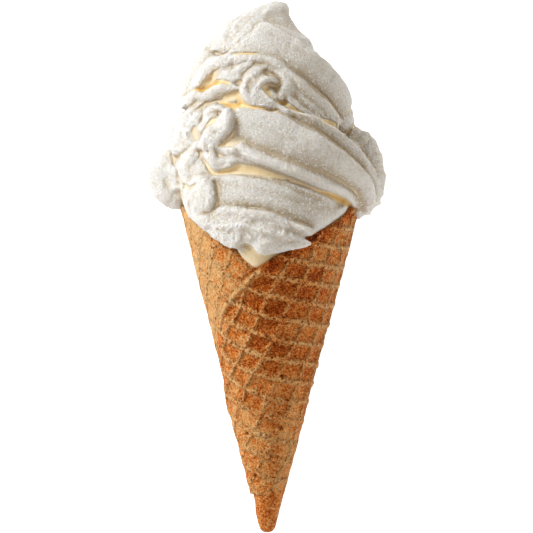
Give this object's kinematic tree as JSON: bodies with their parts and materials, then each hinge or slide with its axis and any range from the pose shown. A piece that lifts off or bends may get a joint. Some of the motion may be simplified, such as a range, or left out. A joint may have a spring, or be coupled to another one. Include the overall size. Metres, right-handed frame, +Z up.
{
  "type": "soft serve ice cream cone",
  "caption": "Vanilla soft serve swirl with folded ridges and a pointed peak in a rolled waffle cone, lying on its back.",
  "frame": {"origin": "centre of the bounding box's base, on the surface the ice cream lies on", "axes": "+Y from the cone's tip towards the peak of the soft serve, +Z up through the shown side, +X to the right as the shown side is looked at with the peak up"},
  "size_m": [0.0842, 0.1842, 0.078],
  "materials": {
    "cream": "frosty matt, soft and slightly translucent",
    "wafer": "crisp baked wafer with a pressed waffle grid, matt with a light oily sheen"
  },
  "bodies": {
    "root": {"soft_serve": "cream", "waffle_cone": "wafer"}
  },
  "joints": []
}
